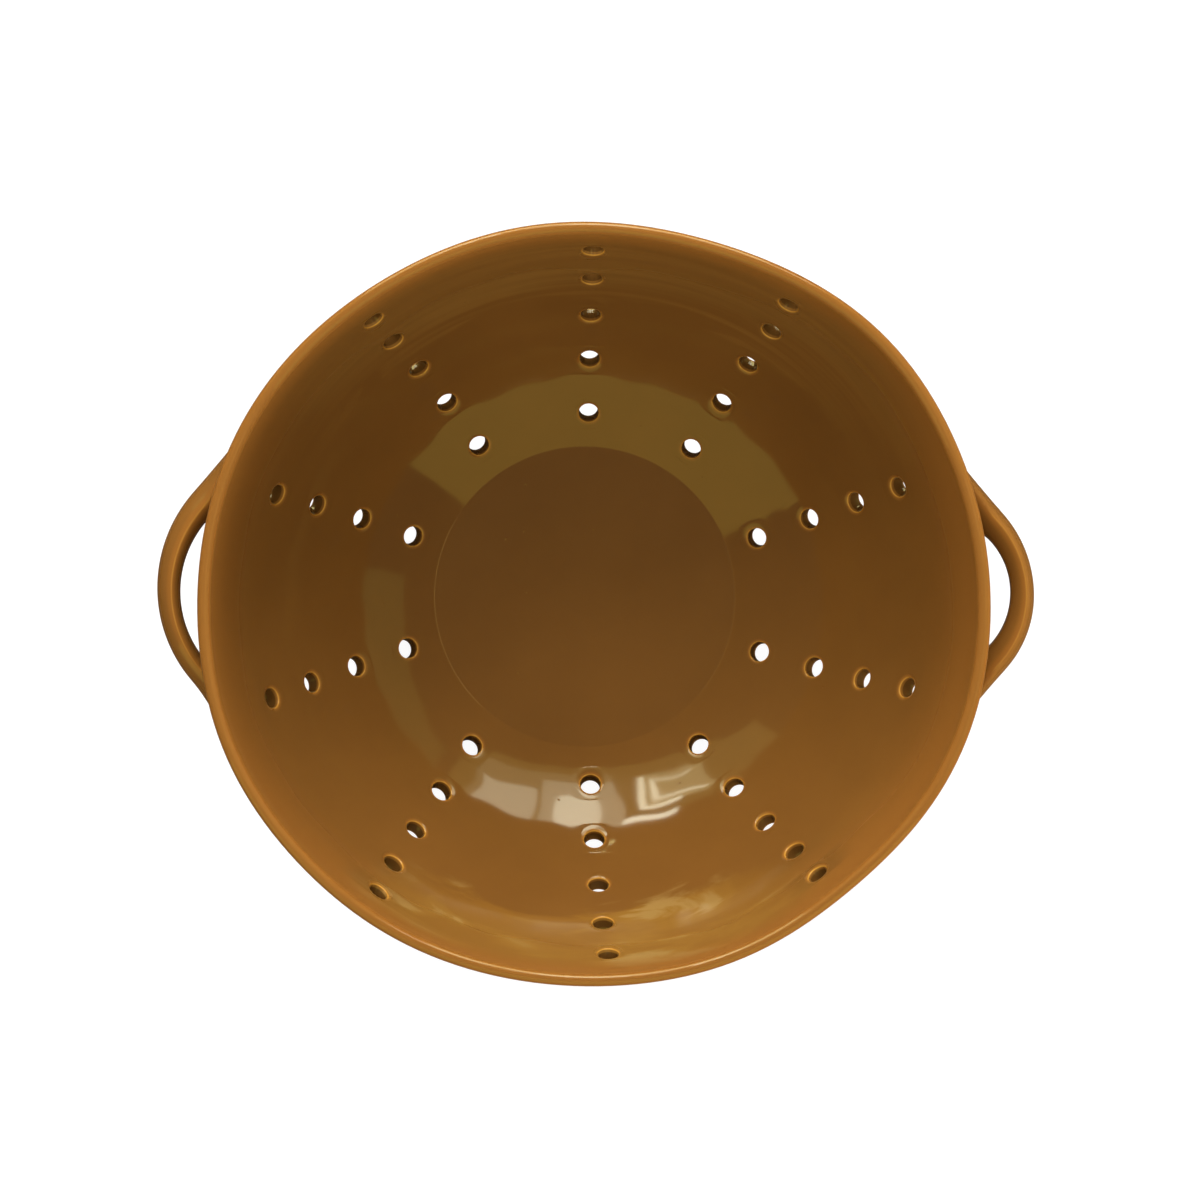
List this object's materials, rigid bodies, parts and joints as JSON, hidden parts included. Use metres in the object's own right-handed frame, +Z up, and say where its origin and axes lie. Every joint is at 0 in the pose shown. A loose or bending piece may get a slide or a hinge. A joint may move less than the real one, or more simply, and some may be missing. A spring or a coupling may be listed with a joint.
{
  "type": "berry colander bowl",
  "caption": "Oval glazed stoneware bowl with a rounded rim, a wall pierced by rising columns of drain holes, a foot ring and a loop handle at each end, for rinsing and serving berries.",
  "frame": {"origin": "on the table, under the middle of the foot ring", "axes": "+Z up out of the bowl's mouth, +X from the left handle to the right handle"},
  "size_m": [0.2538, 0.2192, 0.095],
  "materials": {
    "amber_glaze": "gloss",
    "bare_stoneware": "matt"
  },
  "bodies": {
    "root": {"bowl": "amber_glaze", "foot_ring": "bare_stoneware", "left_handle": "amber_glaze", "right_handle": "amber_glaze"}
  },
  "joints": []
}
